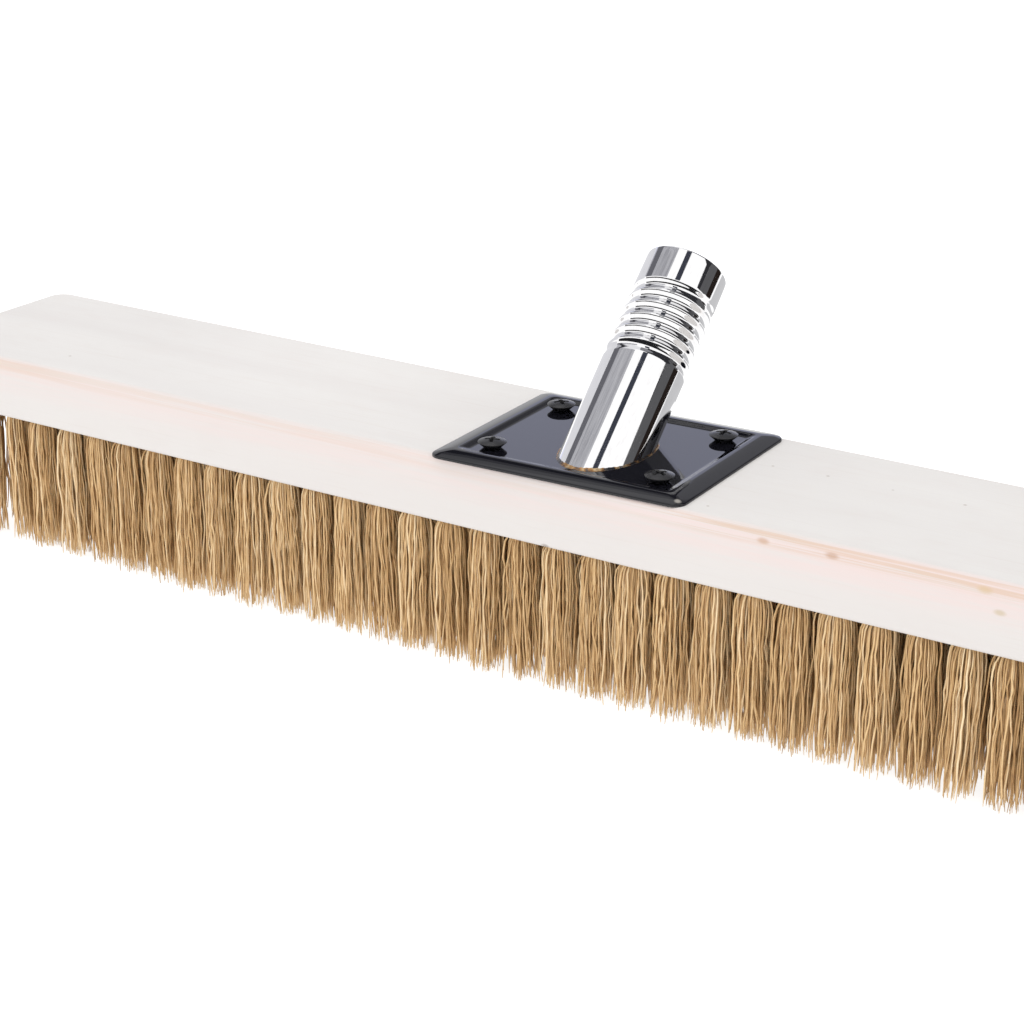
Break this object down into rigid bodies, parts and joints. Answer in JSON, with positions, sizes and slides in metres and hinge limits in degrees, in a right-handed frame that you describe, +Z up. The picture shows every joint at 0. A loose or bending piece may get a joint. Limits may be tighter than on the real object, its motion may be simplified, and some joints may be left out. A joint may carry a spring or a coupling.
{
  "type": "pool wall brush",
  "caption": "Straight wooden brush head with rows of natural bristle tufts and a tilted threaded tube socket, on a pressed plate, for a pole.",
  "frame": {"origin": "middle of the flat that the bristle tips stand on, under the block's middle", "axes": "+X along the block, +Y towards the side that the socket leans to, +Z up from the bristle tips to the socket plate"},
  "size_m": [0.5, 0.0866, 0.1204],
  "materials": {
    "wood_block": "bare sanded pale hardwood",
    "bristle": "natural plant fibre, satin",
    "black_plate": "gloss black enamel",
    "chrome_tube": "mirror bright",
    "weld_bead": "heat-tinted weld",
    "black_screw": "black oxide, semi-gloss",
    "anchor_wire": "drawn wire"
  },
  "bodies": {
    "root": {"block": "wood_block", "socket_plate": "black_plate", "socket_tube": "chrome_tube", "socket_weld": "weld_bead", "screw_front_left": "black_screw", "screw_front_right": "black_screw", "screw_rear_left": "black_screw", "screw_rear_right": "black_screw", "tufts_row1_left": "bristle", "tufts_row1_middle": "bristle", "tufts_row1_right": "bristle", "tufts_row2_left": "bristle", "tufts_row2_middle": "bristle", "tufts_row2_right": "bristle", "tufts_row3_left": "bristle", "tufts_row3_middle": "bristle", "tufts_row3_right": "bristle", "tufts_row4_left": "bristle", "tufts_row4_middle": "bristle", "tufts_row4_right": "bristle", "tufts_row5_left": "bristle", "tufts_row5_middle": "bristle", "tufts_row5_right": "bristle", "anchors_row1": "anchor_wire", "anchors_row2": "anchor_wire", "anchors_row3": "anchor_wire", "anchors_row4": "anchor_wire", "anchors_row5": "anchor_wire"}
  },
  "joints": []
}
